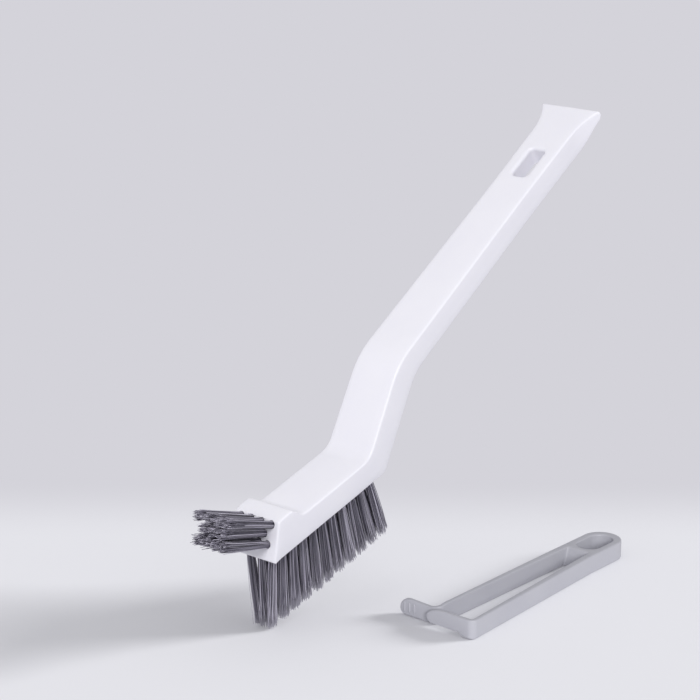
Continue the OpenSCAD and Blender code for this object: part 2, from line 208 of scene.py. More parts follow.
def loft(name, loops, sharp=SHARP, to=to_row):
    """A closed mesh through rings of points, with flat ends."""
    count = len(loops[0])
    total = len(loops) * count
    faces = bands(len(loops), count) + [tuple(range(count)), tuple(range(total - count, total))]
    return new_object(name, to([p for loop in loops for p in loop]), faces, sharp)


def drill(obj, cutters):
    """Cuts closed meshes out of obj, with the result applied."""
    tool = join("cutter", cutters)
    mod = obj.modifiers.new("cut", "BOOLEAN")
    mod.operation, mod.solver, mod.object = "DIFFERENCE", "EXACT", tool
    bpy.context.view_layer.update()
    cut = bpy.data.meshes.new_from_object(obj.evaluated_get(bpy.context.evaluated_depsgraph_get()))
    obj.modifiers.clear()
    obj.data = cut
    bpy.data.objects.remove(tool)


def quarter(steps):
    """Angles of a quarter turn, both ends included."""
    return [math.pi / 2 * k / steps for k in range(steps + 1)]


def arc(before, corner, after, radius, steps):
    """The arc that rounds a corner between two other points."""
    u, w = unit(before - corner), unit(after - corner)
    half = math.acos(float(np.dot(u, w))) / 2
    start = corner + u * radius / math.tan(half)
    middle = corner + unit(u + w) * radius / math.sin(half)
    turn = (-1 if cross2(u, w) > 0 else 1) * (math.pi - 2 * half)
    spoke = start - middle
    out = []
    for k in range(steps + 1):
        c, s = math.cos(turn * k / steps), math.sin(turn * k / steps)
        out.append(middle + v2(spoke[0] * c - spoke[1] * s, spoke[0] * s + spoke[1] * c))
    return out


def arc_points(centre, radius, start, end, steps):
    """Points of a plan arc, with its angles in degrees."""
    angles = np.radians(np.linspace(start, end, steps + 1))
    return [(centre[0] + radius * math.cos(a), centre[1] + radius * math.sin(a)) for a in angles]


# The moulded body


def half_width(x):
    """Half width of the body at a distance from its front edge, with an arc where the tail flares."""
    if x < flare_x:
        places = (0, lower_bend[0] - LOWER_R, upper_bend[0], waist_x, flare_x)
        return float(np.interp(x, places, (HEAD_W, HEAD_W, NECK_W, WAIST_W, flare_w))) / 2
    run, rise = tail_top[0] - flare_x, (TAIL_W - flare_w) / 2
    radius = (run**2 + rise**2) / (2 * rise)
    d = min(x - flare_x, run)
    return flare_w / 2 + radius - math.sqrt(radius * radius - d * d)


def smooth_width(x):
    """Half width with its corners eased, as far as a little before the flare."""
    if x < tail_top[0] - EASED_BACK:
        return sum(half_width(x + d) for d in (-6, -3, 0, 3, 6)) / 5
    return half_width(x)


def stations():
    """Matching top and bottom points along the body, from its front edge to its tail."""
    top, low = [], []

    def run(top_from, top_to, low_from, low_to, count):
        """Evenly spaced pairs, without the last."""
        for k in range(count):
            top.append(top_from + (top_to - top_from) * k / count)
            low.append(low_from + (low_to - low_from) * k / count)

    def curve(top_points, low_points):
        """Pairs of two curves with as many points, without the last."""
        top.extend(top_points[:-1])
        low.extend(low_points[:-1])

    rear = arc(flange_top, flange_rear, flange_foot, FLANGE_R, 4)
    foot = arc(flange_rear, flange_foot, lower_bend, FOOT_R, 8)
    # Under the flange the bottom points lie a little ahead of the top ones, because its front face slants.
    low_x = np.linspace(rear[0][0] - FLAT_AHEAD, foot[-1][0] - FLAT_CLOSE, 13)
    flat = [v2(x, 0) for x in low_x]
    run(flange_top, rear[0], front_edge, flat[0], 3)
    curve(rear, flat[:5])
    run(rear[-1], foot[0], flat[4], flat[5], 1)
    curve(foot, [v2(x, 0) for x in np.linspace(low_x[5], low_x[-1], 9)])
    lower_top = arc(flange_foot, lower_bend, upper_bend, LOWER_R, 14)
    lower_low = arc(front_edge, heel, upper_under, HEEL_R, 14)
    run(foot[-1], lower_top[0], flat[-1], lower_low[0], 9)
    curve(lower_top, lower_low)
    upper_top = arc(lower_bend, upper_bend, tail_top, UPPER_R, 18)
    upper_low = arc(heel, upper_under, sweep_under, UPPER_R - HANDLE_T, 18)
    run(lower_top[-1], upper_top[0], lower_low[-1], upper_low[0], 16)
    curve(upper_top, upper_low)
    sweep = arc(upper_under, sweep_under, tail_under, SWEEP_R, 8)
    above = [tail_top - handle_dir * float(np.dot(tail_top - p, handle_dir)) for p in sweep]
    run(upper_top[-1], above[0], upper_low[-1], sweep[0], 46)
    curve(above, sweep)
    run(above[-1], tail_top, sweep[-1], tail_under, 9)
    return top + [tail_top], low + [tail_under]


def channel_depth(top, low):
    """Height of the channel's ceiling above the skirt's lower edge, at one pair of points."""
    if (top + low)[0] / 2 < lower_bend[0]:
        return 0
    start = float(np.dot(top - lower_bend, neck_dir)) - CHANNEL_START
    end = float(np.dot(tail_top - top, handle_dir)) - CHANNEL_BACK
    deep = max(np.linalg.norm(top - low) - WALL, 0)
    ramp = min(max(start, 0) / RUN_OUT, max(end, 0) / RUN_OUT, 1)
    return deep * (1 - (1 - ramp) ** RUN_OUT_POWER)


def section(top, low, inset, shift):
    """The closed loop of one cross-section, a channel with rounded lips.
    It starts in the middle of the top and goes round the far side first."""
    up = unit(top - low)
    along = v2(up[1], -up[0])
    top_at = top - up * inset + along * shift
    low_at = low + up * inset + along * shift
    height = float(np.linalg.norm(top_at - low_at))
    deep = channel_depth(top, low)
    deep = min(deep, height - LEAST_TOP) if deep > 0 else 0
    rim = min(TOP_R, height * THIN_SHARE)
    shoulder = height - CROWN
    points = []

    def add(in_y, z):
        """A point at a distance in from the far side, and at a height above the lower edge."""
        p = low_at + up * z
        points.append((p[0], max(smooth_width(p[0]) - inset - in_y, 0), p[1]))

    w_top = smooth_width(top_at[0]) - inset
    crown = CROWN if inset < CROWN_INSET else 0
    for k in range(7):
        y = (w_top - rim) * k / 6
        add(w_top - y, shoulder + crown * (1 - (y / w_top) ** 2))
    for a in quarter(6)[1:]:
        add(rim * (1 - math.sin(a)), shoulder - rim * (1 - math.cos(a)))
    for k in range(1, 4):
        add(0, (shoulder - rim) + (LIP_R - (shoulder - rim)) * k / 3)
    for a in quarter(3)[1:]:
        add(LIP_R * (1 - math.cos(a)), LIP_R * (1 - math.sin(a)))
    inner = min(LIP_R, deep / 2)
    for a in quarter(3):
        add(WALL - LIP_R * (1 - math.sin(a)), inner * (1 - math.cos(a)))
    fillet = min(CEILING_R, deep / 3)
    for k in range(1, 4):
        add(WALL + DRAFT * k / 3, inner + (deep - fillet - inner) * k / 3)
    for a in quarter(4)[1:]:
        add(WALL + DRAFT + CEILING_R * (1 - math.cos(a)), deep - fillet * (1 - math.sin(a)))
    ceiling_in = WALL + DRAFT + CEILING_R
    w_in = smooth_width((low_at + up * deep)[0]) - inset - ceiling_in
    for k in range(1, 6):
        add(ceiling_in + w_in * k / 5, deep)
    return points + [(x, -y, z) for x, y, z in points[-2:0:-1]]


def body():
    """The moulded body, before the slot and the tuft holes are cut."""
    top, low = stations()
    rounds = [(END_R * (1 - math.sin(a)), END_R * (1 - math.cos(a))) for a in quarter(4)]
    loops = [section(top[0], low[0], inset, shift) for inset, shift in rounds]
    loops += [section(t, l, 0, 0) for t, l in zip(top[1:-2], low[1:-2])]
    loops += [section(top[-1], low[-1], inset, -shift) for inset, shift in reversed(rounds)]
    count = len(loops[0])
    faces = bands(len(loops), count)
    for base in (0, (len(loops) - 1) * count):
        for j in range(count // 2):
            near = count - j
            faces.append((base + j, base + j + 1, base + (near - 1) % count, base + near % count))
    return new_object("handle_moulding", to_row([p for loop in loops for p in loop]), whole_faces(faces))


def slot_ring(grow, depth):
    """The hanging slot's outline, grown by a margin, at a depth below the handle's top."""
    a, b, r = SLOT_LEN / 2 + grow, SLOT_W / 2 + grow, SLOT_R + grow
    centres = ((a - r, b - r, 0), (r - a, b - r, 90), (r - a, r - b, 180), (a - r, r - b, 270))
    ring = []
    for cx, cy, first in centres:
        for u, y in arc_points((cx, cy), r, first, first + 90, 8):
            p = tail_top - handle_dir * (SLOT_BACK - u) + handle_down * depth
            ring.append((p[0], y, p[1]))
    return ring


def slot_cutter():
    """The hanging slot, as depths with margins: a rounded rim on the top face, then a little draft."""
    levels = (
        (-3, 1.5), (-0.2, 1.5), (0.1, 0.85), (0.45, 0.32), (0.95, 0.06), (1.5, 0),
        (SLOT_DEPTH - 0.4, -0.15), (SLOT_DEPTH + 0.1, 0.2), (SLOT_DEPTH + 1, 0.2),
    )
    return loft("slot_cutter", [slot_ring(grow, depth) for depth, grow in levels])


def slot_collar():
    """The tube under the handle's top that lines the slot, with rounded lower rims."""
    levels = (
        (WALL - 0.6, SLOT_WALL + 0.6), (WALL + 0.3, SLOT_WALL + 0.12), (SLOT_DEPTH - 0.4, SLOT_WALL),
        (SLOT_DEPTH, SLOT_WALL - 0.35), (SLOT_DEPTH, 0.3), (SLOT_DEPTH - 0.4, -0.12), (WALL - 0.6, -0.02),
    )
    rings = [slot_ring(grow, depth) for depth, grow in levels]
    faces = bands(len(rings), len(rings[0]), closed=True)
    return new_object("slot_collar", to_row([p for ring in rings for p in ring]), faces)


def ribs():
    """Cross ribs under the channel's ceiling, as depths with margins that round their edges."""
    levels = (
        (WALL - 0.3, 0.5), (WALL + 0.4, 0.1), (WALL + RIB_H - 0.5, 0),
        (WALL + RIB_H - 0.15, -0.2), (WALL + RIB_H, -0.5),
    )
    last = HANDLE_LEN - SLOT_BACK - SLOT_LEN / 2 - RIB_STOP
    out = []
    for k in range(RIBS):
        at = upper_bend + handle_dir * (RIB_START + (last - RIB_START) * k / (RIBS - 1))
        loops = []
        for depth, grow in levels:
            p = at + handle_down * depth
            half_t = RIB_T / 2 + grow
            w = half_width(p[0]) - WALL + (RIB_SUNK if grow >= 0 else 0)
            loops.append([
                (p[0] + handle_dir[0] * s * half_t, y, p[1] + handle_dir[1] * s * half_t)
                for s, y in ((-1, -w), (1, -w), (1, w), (-1, w))
            ])
        out.append(loft("rib", loops, RIB_SHARP))
    return out


def lower_tuft_frame(row, col):
    """Root, direction and tip axes of a lower tuft."""
    lean = math.radians(LEAN_FRONT - (LEAN_FRONT + LEAN_REAR) * (row - 1) / (ROWS - 1))
    off = col - (COLS + 1) / 2
    tilt = -math.asin(off * (COL_PITCH - LOWER_TIP[1] - TIP_GAP) / LOWER_LEN)
    cl, sl, ct, st = math.cos(lean), math.sin(lean), math.cos(tilt), math.sin(tilt)
    return (
        np.array((FIRST_ROW + (row - 1) * ROW_PITCH, off * COL_PITCH, 0.0)),
        np.array((-ct * sl, st, -ct * cl)),
        np.array((cl, 0, -sl)),
        np.array((st * sl, ct, st * cl)),
    )


def front_tuft_frame(row, col):
    """Root, direction and tip axes of a front tuft."""
    up = unit(flange_top)
    at = up * (np.linalg.norm(flange_top) - TOP_INSET - row * FACE_PITCH)
    rise = math.radians(TOP_RISE - (TOP_RISE - BOTTOM_RISE) * row / (len(FRONT_COUNTS) - 1))
    y = (col - (FRONT_COUNTS[row] - 1) / 2) * FRONT_PITCHES[row]
    return (
        np.array((at[0], y, at[1])),
        np.array((-math.cos(rise), 0, math.sin(rise))),
        np.array((math.sin(rise), 0, math.cos(rise))),
        np.array((0, 1.0, 0)),
    )


def tuft_frames():
    """Node, frame, length and tip of each tuft."""
    for row in range(1, ROWS + 1):
        for col in range(1, COLS + 1):
            yield f"lower_tuft_r{row}_c{col}", lower_tuft_frame(row, col), LOWER_LEN, LOWER_TIP
    for row, count in enumerate(FRONT_COUNTS):
        for col in range(count):
            yield f"front_tuft_r{row + 1}_c{col + 1}", front_tuft_frame(row, col), FRONT_LEN, FRONT_TIP


def hole_cutters():
    """Round cutters for the mouths of the tuft holes."""
    radius = ROOT_D / 2 + HOLE_GAP
    turns = [math.tau * k / 20 for k in range(20)]
    out = []
    for _, (root, along, ax, ay), _, _ in tuft_frames():
        loops = []
        for depth in (HOLE_IN, 0, -HOLE_OUT):
            centre = root - along * depth
            loops.append([centre + radius * (math.cos(t) * ax + math.sin(t) * ay) for t in turns])
        out.append(loft("hole", loops))
    return out


handle = body()
drill(handle, [slot_cutter()])
drill(handle, hole_cutters())
handle = join("handle_moulding", [handle, slot_collar()] + ribs())
handle.data.shade_smooth()
handle.data.set_sharp_from_angle(angle=BODY_SHARP)

# The tufts: how filaments are made and stray, and what differs between the lower and the front ones

GOLDEN_ANGLE = math.pi * (3 - math.sqrt(5))
TUFT_RINGS, TUFT_SIDES, FILAMENT_R = 7, 4, 0.15
ROOT_SUNK, ROOT_IN, TIP_IN = -1.6, ROOT_D / 2 - 0.12, 0.1
TURN_JITTER, PLACE_JITTER, THICK_JITTER = 0.25, 0.06, 0.15
SHORT_SHARE, BOW_BOUND, BOW_WIDTH, STRAY_BOUND = 0.16, 0.5, 0.2, 0.9
TONE_MIDDLE, TONE_WIDTH = 0.5, 0.3
END_THIN, PALE_REACH = 0.75, 10
LOWER_STYLE = {"count": 110, "ragged": 1.3, "dome": 0.6, "short": 5.0, "stray": 0.45, "fan": 0.7, "pale": 1.0}
FRONT_STYLE = {"count": 96, "ragged": 0.9, "dome": 0.5, "short": 3.5, "stray": 0.5, "fan": 0.8, "pale": 0.35}


def spread(local, bound, width):
    """A random offset about zero that is never past its bound."""
    return min(max(local.gauss(0, width), -bound), bound)


def tuft(name, place, length, tip, style):
    """A bundle of separate filaments that fan from a round root to an oval, ragged tip."""
    root, along, ax, ay = place
    local = random.Random(name)
    verts, faces, tones, reaches = [], [], [], []
    for i in range(style["count"]):
        q = math.sqrt((i + 0.5) / style["count"])
        t = i * GOLDEN_ANGLE + local.uniform(-TURN_JITTER, TURN_JITTER)
        u, v = q * math.cos(t), q * math.sin(t)
        u1, v1 = u + local.gauss(0, PLACE_JITTER), v + local.gauss(0, PLACE_JITTER)
        size = local.uniform(1 - THICK_JITTER, 1 + THICK_JITTER)
        end = length - abs(local.gauss(0, style["ragged"])) - style["dome"] * q * q
        if local.random() < SHORT_SHARE:
            end -= style["short"] * local.random()
        bow = spread(local, BOW_BOUND, BOW_WIDTH), spread(local, BOW_BOUND, BOW_WIDTH)
        stray = spread(local, STRAY_BOUND, style["stray"]), spread(local, STRAY_BOUND, style["stray"])
        tone = min(max(local.gauss(TONE_MIDDLE, TONE_WIDTH), 0), 1)
        faces += bands(TUFT_RINGS, TUFT_SIDES, len(verts))
        for k in range(TUFT_RINGS):
            d = ROOT_SUNK + (end - ROOT_SUNK) * k / (TUFT_RINGS - 1)
            f = max(d, 0) / length
            fan = f ** style["fan"]
            wide = [(1 - fan) * ROOT_IN + fan * (across / 2 - TIP_IN) for across in tip]
            swell = math.sin(math.pi * f)
            x = wide[0] * (u * (1 - f) + u1 * f) + bow[0] * swell + stray[0] * f**5
            y = wide[1] * (v * (1 - f) + v1 * f) + bow[1] * swell + stray[1] * f**5
            centre = root + along * d + ax * x + ay * y
            radius = FILAMENT_R * size * (END_THIN if k == TUFT_RINGS - 1 else 1)
            for j in range(TUFT_SIDES):
                a = math.tau * (j + 0.5 * (i % 2)) / TUFT_SIDES
                verts.append(centre + radius * (math.cos(a) * ax + math.sin(a) * ay))
            tones += [tone] * TUFT_SIDES
            reaches += [style["pale"] * (1 - (end - d) / PALE_REACH)] * TUFT_SIDES
        faces.append(tuple(range(len(verts) - TUFT_SIDES, len(verts))))
    mesh = bpy.data.meshes.new(name)
    mesh.from_pydata([tuple(p) for p in to_row(verts)], [], faces)
    mesh.shade_smooth()
    for label, values in (("tone", tones), ("reach", reaches)):
        layer = mesh.attributes.new(label, "FLOAT", "POINT")
        layer.data.foreach_set("value", np.array(values, np.float32))
    return put(name, mesh)


tufts = []
for node, place, length, tip in tuft_frames():
    style = FRONT_STYLE if node.startswith("front") else LOWER_STYLE
    piece = tuft("bristles_" + node, place, length, tip, style)
    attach(piece, "brush")
    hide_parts(node)
    tufts.append(piece)

# The clip, drawn in millimetres about the centre of the ring's hole

RING_W, HOLE_LEN, HOLE_W, RING_END, WEB = 18.6, 20.4, 11.4, 4.0, 6.4
WEB_FOOT, WEB_SLOPE, WEB_R, WEB_R_SHARE = 0.4, 3.6, 1.0, 0.7
ARM_T, ROOT_T, ARM_LEN, CLIP_H, JAW_H = 2.2, 3.5, 93.3, 8.6, 7.8
NEAR_SPREAD, FAR_LEAN, BEND_R, JAW_BEND_R = 5.1, 0.6, 3.0, 2.0
LEG_REACH, LEG_NOSE, LEG_RISE, RISE_PAST, RISE_RUN = 2.5, 9.0, 1.6, 1.0, 2.0
JAW_REACH, JAW_NOSE, JAW_GAP, LOW_NOSE = 19.4, 5.4, 0.9, 3.0
# Heights of the far arm's top against the distance along it, which dip at the bend.
JAW_DIP = ((85, CLIP_H), (92, 7.3), (97, 7.5), (104, JAW_H))
RIDGE_COUNT, RIDGE_H, RIDGE_PITCH, RIDGE_SHARE, RIDGE_LEAST = 3, 0.45, 2.6, 0.3, 0.01

# Rounded rims, and how far in the near arm's bend is drawn, so that its curve stays in the solid's box.
RING_RIM, ARM_RIM, BOX_IN = 0.75, 0.62, 0.1
PATH_STEP, MITRE_LEAST, TINY = 0.5, 0.6, 1e-9

ring_low, ring_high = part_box("clip_ring")
CLIP_AT = np.array((ring_high.x * 1000 - HOLE_LEN / 2 - RING_END, (ring_low.y + ring_high.y) * 500, 0))
ring_left = -HOLE_LEN / 2 - WEB
ring_right = HOLE_LEN / 2 + RING_END
arm_y = RING_W / 2 - ROOT_T / 2
leg_x = ring_left - ARM_LEN
leg_mid = leg_x + ARM_T / 2
jaw_x = leg_x + ARM_T + JAW_GAP
jaw_mid = jaw_x + ARM_T / 2
near_y = -RING_W / 2 - NEAR_SPREAD
far_y = RING_W / 2 - FAR_LEAN
jaw_end = far_y + JAW_REACH - JAW_NOSE


def clip_row(points):
    """Points of the clip in millimetres, to the row frame in metres."""
    return (np.asarray(points, float).reshape(-1, 3) + CLIP_AT) / 1000


def edge_normals(edges):
    """Unit normals to the left of plan edges."""
    lengths = np.maximum(np.linalg.norm(edges, axis=1), TINY)
    return np.stack((-edges[:, 1], edges[:, 0]), 1) / lengths[:, None]


def offset_loop(loop, inset, closed=True):
    """A plan outline moved inwards, for a loop that runs anticlockwise."""
    points = np.asarray(loop, float)
    before = points - np.roll(points, 1, 0)
    after = np.roll(points, -1, 0) - points
    if not closed:
        before[0], after[-1] = after[0], before[-1]
    first, second = edge_normals(before), edge_normals(after)
    middle = first + second
    middle /= np.maximum(np.linalg.norm(middle, axis=1), TINY)[:, None]
    stretch = 1 / np.maximum((middle * second).sum(1), MITRE_LEAST)
    return points + middle * (inset * stretch)[:, None]


def rim_levels(height, radius):
    """Pairs of inset and height for a plate's rounded rims, from its bottom face up to its top face."""
    low = [(radius * (1 - math.sin(a)), radius * (1 - math.cos(a))) for a in quarter(4)]
    return low + [(inset, height - z) for inset, z in reversed(low)]


def ring_outline(height):
    """The ring's outer outline, then the inner one round the sloping web, at one height."""
    centre_x = ring_right - RING_W / 2
    sides = np.linspace(ring_left, centre_x, 8)
    outer = [(x, -RING_W / 2) for x in sides[:-1]]
    outer += arc_points((centre_x, 0), RING_W / 2, -90, 90, 40)
    outer += [(x, RING_W / 2) for x in sides[-2::-1]]
    half_gap = RING_W / 2 - ROOT_T
    web_x = ring_left + WEB_FOOT + (WEB_SLOPE - WEB_FOOT) * height / CLIP_H
    fillet = min(WEB_R, WEB_R_SHARE * (web_x - ring_left))
    inner = [(ring_left, half_gap)]
    inner += arc_points((web_x - fillet, half_gap - fillet), fillet, 90, 0, 5)
    inner += [(web_x, y) for y in np.linspace(half_gap - fillet, fillet - half_gap, 6)[1:-1]]
    inner += arc_points((web_x - fillet, fillet - half_gap), fillet, 0, -90, 5)
    inner += [(ring_left, -half_gap)]
    return outer, inner


def eye_outline():
    """The ring's oval hole, anticlockwise."""
    half, radius = (HOLE_LEN - HOLE_W) / 2, HOLE_W / 2
    return arc_points((half, 0), radius, -90, 90, 24) + arc_points((-half, 0), radius, 90, 270, 24)


def wall_rings(bm, outline_at, direction, ends=()):
    """Rings of vertices up a wall with rounded rims. Points at the given ends stay where the arms join."""
    rings = []
    for inset, z in rim_levels(CLIP_H, RING_RIM):
        moved = offset_loop(outline_at(z), inset * direction)
        for k in ends:
            moved[k, 0] = ring_left
        rings.append([bm.verts.new(tuple(v)) for v in clip_row([(x, y, z) for x, y in moved])])
    return rings


def wall_faces(bm, rings, skipped=()):
    """Faces between neighbouring rings, but for the gaps where the arms join."""
    count = len(rings[0])
    for low, high in zip(rings[:-1], rings[1:]):
        for j in range(count):
            k = (j + 1) % count
            if j not in skipped:
                bm.faces.new((low[j], low[k], high[k], high[j]))


def ring_piece():
    """The oval ring with its sloping web, open where the two arms join it."""
    bm = bmesh.new()
    turn, inner_count = (len(line) for line in ring_outline(0))
    last = turn + inner_count - 1
    outside = wall_rings(bm, lambda z: sum(ring_outline(z), []), 1, (0, turn - 1, turn, last))
    eye = wall_rings(bm, lambda z: eye_outline(), -1)
    wall_faces(bm, outside, (turn - 1, last))
    wall_faces(bm, eye)
    for level in (0, -1):
        edges = []
        for ring in (outside[level], eye[level]):
            for a, b in zip(ring, ring[1:] + ring[:1]):
                edges.append(bm.edges.get((a, b)) or bm.edges.new((a, b)))
        bmesh.ops.triangle_fill(bm, use_beauty=True, use_dissolve=False, edges=edges)
    return smooth_object("clip_eye_ring", bm, bpy.data.meshes.new("clip_eye_ring"), CLIP_SHARP)


def arm_path(corners, radius):
    """A plan path through three corners, with the middle one rounded, and its unit normals to the left."""
    start, middle, end = (np.array(corner, float) for corner in corners)
    bend = arc(start, middle, end, radius, 14)
    line = [start + (bend[0] - start) * k / 40 for k in range(40)] + bend
    steps = int(np.linalg.norm(end - bend[-1]) / PATH_STEP)
    line += [bend[-1] + (end - bend[-1]) * k / steps for k in range(1, steps + 1)]
    line = np.array(line)
    tangent = np.gradient(line, axis=0)
    tangent /= np.linalg.norm(tangent, axis=1)[:, None]
    return line, np.stack((-tangent[:, 1], tangent[:, 0]), 1)


def round_end(distance, total, reach):
    """Share of the full height that is left near a blade's round end."""
    past = min(max((distance - (total - reach)) / reach, 0), 1)
    return math.sqrt(1 - past * past)


def blade_outline(along, lifted_from, heights, nose, rise):
    """A blade's side outline as distances along its path with heights, open at the root."""
    total = along[-1]
    knots = list(along[along < total - nose])
    knots += [total - nose + nose * math.sin(a) for a in np.linspace(0, math.pi / 2, 15)]
    high, low = [], []
    for d in knots:
        foot = min(max((d - lifted_from) / RISE_RUN, 0), rise)
        full = float(np.interp(d, *zip(*heights)))
        high.append(foot + LOW_NOSE + (full - foot - LOW_NOSE) * round_end(d, total, nose))
        low.append(foot + LOW_NOSE * (1 - round_end(d, total, LOW_NOSE)))
    return np.vstack((np.stack((knots, low), 1)[:-1], np.stack((knots, high), 1)[::-1]))


def arm_piece(name, corners, radius, heights, nose, rise=0.0):
    """An upright blade along a plan path, with rounded rims and a round nose at its far end.
    It is open at its root, where it meets the ring, and thins from there to its bend."""
    line, normal = arm_path(corners, radius)
    along = np.concatenate(([0], np.cumsum(np.linalg.norm(np.diff(line, axis=0), axis=1))))
    straight = np.linalg.norm(np.subtract(corners[1], corners[0])) - radius
    outline = blade_outline(along, straight + 2 * radius + RISE_PAST, heights, nose, rise)
    count = len(outline)
    levels = [(inset, out - ARM_T / 2) for inset, out in rim_levels(ARM_T, ARM_RIM)]
    verts, faces = [], []
    for inset, out in levels:
        moved = offset_loop(outline, inset, closed=False)
        moved[0, 0] = moved[-1, 0] = 0
        for d, z in moved:
            extra = (ROOT_T - ARM_T) / 2 * max(1 - d / straight, 0)
            side = out + math.copysign(extra, out)
            at = np.array([np.interp(d, along, line[:, i]) for i in (0, 1)])
            left = np.array([np.interp(d, along, normal[:, i]) for i in (0, 1)])
            verts.append((*(at + side * left), z))
    for k in range(len(levels) - 1):
        for base in range(k * count, (k + 1) * count - 1):
            faces.append((base, base + 1, base + count + 1, base + count))
    for base in (0, (len(levels) - 1) * count):
        for j in range(count // 2):
            faces.append((base + j, base + j + 1, base + count - 2 - j, base + count - 1 - j))
    return new_object(name, clip_row(verts), whole_faces(faces), CLIP_SHARP)


def near_blade():
    """The near arm, whose crossing leg has its foot lifted off the surface."""
    return arm_piece(
        "clip_near_blade",
        ((ring_left, -arm_y), (leg_mid, near_y + ARM_T / 2 + BOX_IN), (leg_mid, far_y + LEG_REACH)),
        BEND_R - ARM_T / 2, ((0, CLIP_H), (ARM_LEN, CLIP_H)), LEG_NOSE, LEG_RISE,
    )


def far_blade():
    """The far arm, whose top dips at the bend before the jaw."""
    return arm_piece(
        "clip_far_blade",
        ((ring_left, arm_y), (jaw_mid, far_y - ARM_T / 2), (jaw_mid, far_y + JAW_REACH)),
        JAW_BEND_R + ARM_T / 2, JAW_DIP, JAW_NOSE,
    )


def ridge(y):
    """A small upright half-round ridge with round ends on the jaw's front."""
    loops = []
    for k in range(9):
        a = math.pi * k / 8
        r = RIDGE_H * math.sqrt(max(math.sin(a), RIDGE_LEAST))
        z = JAW_H / 2 - math.cos(a) * JAW_H * RIDGE_SHARE
        loops.append([(*p, z) for p in arc_points((jaw_x, y), r, 0, 330, 11)])
    return loft("ridge", loops, None, clip_row)


ring = ring_piece()
near = near_blade()
far = far_blade()
far = join("clip_far_blade", [far] + [ridge(jaw_end + (1 - k) * RIDGE_PITCH) for k in range(RIDGE_COUNT)])

# Materials


def linear(level):
    """A screen level from 0 to 1, as linear light."""
    return ((level + 0.055) / 1.055) ** 2.4 if level > 0.04045 else level / 12.92


def srgb(r, g, b):
    """A linear colour with alpha, from 8-bit screen levels."""
    return (linear(r / 255), linear(g / 255), linear(b / 255), 1.0)


def even(value):
    """A colour with the same value in each channel."""
    return (value, value, value, 1)


def material(name, color, rough, specular=0.5):
    """A material, its node tree and its shader."""
    m = bpy.data.materials.new(name)
    m.use_nodes = True
    p = m.node_tree.nodes["Principled BSDF"]
    p.inputs["Base Color"].default_value = color
    p.inputs["Roughness"].default_value = rough
    p.inputs["Specular IOR Level"].default_value = specular
    return m, m.node_tree, p


def noise(nt, scale, detail, rough=0.5):
    """A noise pattern fixed to the object."""
    coord = nt.nodes.new("ShaderNodeTexCoord")
    n = nt.nodes.new("ShaderNodeTexNoise")
    n.inputs["Scale"].default_value = scale
    n.inputs["Detail"].default_value = detail
    n.inputs["Roughness"].default_value = rough
    nt.links.new(coord.outputs["Object"], n.inputs["Vector"])
    return n.outputs["Fac"]


def attribute(nt, name):
    """A value stored on the mesh's points."""
    a = nt.nodes.new("ShaderNodeAttribute")
    a.attribute_name = name
    return a.outputs["Fac"]


def ramp(nt, source, stops, interpolation="LINEAR"):
    """The colours for a value, from stops of a position and a colour."""
    r = nt.nodes.new("ShaderNodeValToRGB")
    r.color_ramp.interpolation = interpolation
    r.color_ramp.elements[0].position, r.color_ramp.elements[0].color = stops[0]
    r.color_ramp.elements[1].position, r.color_ramp.elements[1].color = stops[-1]
    for at, color in stops[1:-1]:
        r.color_ramp.elements.new(at).color = color
    nt.links.new(source, r.inputs["Fac"])
    return r.outputs["Color"]


def bump(nt, p, source, strength, distance):
    """A fine relief on a shader, with its depth in metres."""
    b = nt.nodes.new("ShaderNodeBump")
    b.inputs["Strength"].default_value = strength
    b.inputs["Distance"].default_value = distance
    nt.links.new(source, b.inputs["Height"])
    nt.links.new(b.outputs["Normal"], p.inputs["Normal"])


def moulded_plastic(name, light, dark, rough, grain):
    """Moulded plastic: a faint cloudiness, a fine grain and uneven gloss."""
    m, nt, p = material(name, light, rough)
    tint = ramp(nt, noise(nt, scale=38, detail=4), [(0.3, dark), (0.7, light)])
    nt.links.new(tint, p.inputs["Base Color"])
    wear = noise(nt, scale=120, detail=5, rough=0.6)
    gloss = ramp(nt, wear, [(0.3, even(rough - 0.05)), (0.7, even(rough + 0.06))])
    nt.links.new(gloss, p.inputs["Roughness"])
    bump(nt, p, noise(nt, scale=2600, detail=2), strength=grain, distance=0.00004)
    return m


def white_plastic():
    """The handle's plastic, which lets a little light in."""
    light, dark = srgb(234, 233, 239), srgb(231, 230, 237)
    m = moulded_plastic("white_plastic", light, dark, rough=0.34, grain=0.1)
    p = m.node_tree.nodes["Principled BSDF"]
    p.inputs["Subsurface Weight"].default_value = 0.12
    p.inputs["Subsurface Radius"].default_value = (0.002, 0.002, 0.0022)
    return m


def nylon():
    """Filaments in tones that differ from one to the next, with pale cut ends."""
    m, nt, p = material("nylon_filament", srgb(110, 106, 122), rough=0.36, specular=0.9)
    tones = [(0.1, srgb(66, 63, 76)), (0.5, srgb(120, 116, 132)), (0.95, srgb(204, 200, 214))]
    mix = nt.nodes.new("ShaderNodeMix")
    mix.data_type = "RGBA"
    ends = ramp(nt, attribute(nt, "reach"), [(0.45, even(0)), (1.0, even(0.75))])
    nt.links.new(ends, mix.inputs["Factor"])
    nt.links.new(ramp(nt, attribute(nt, "tone"), tones), mix.inputs["A"])
    mix.inputs["B"].default_value = srgb(214, 211, 222)
    nt.links.new(mix.outputs["Result"], p.inputs["Base Color"])
    bump(nt, p, noise(nt, scale=900, detail=2), strength=0.2, distance=0.00003)
    return m


def anchor_wire():
    """Drawn steel for the tufts' anchors."""
    m, nt, p = material("anchor_wire", (0.6, 0.6, 0.62, 1), rough=0.35)
    p.inputs["Metallic"].default_value = 1.0
    bump(nt, p, noise(nt, scale=1500, detail=4), strength=0.3, distance=0.00003)
    return m


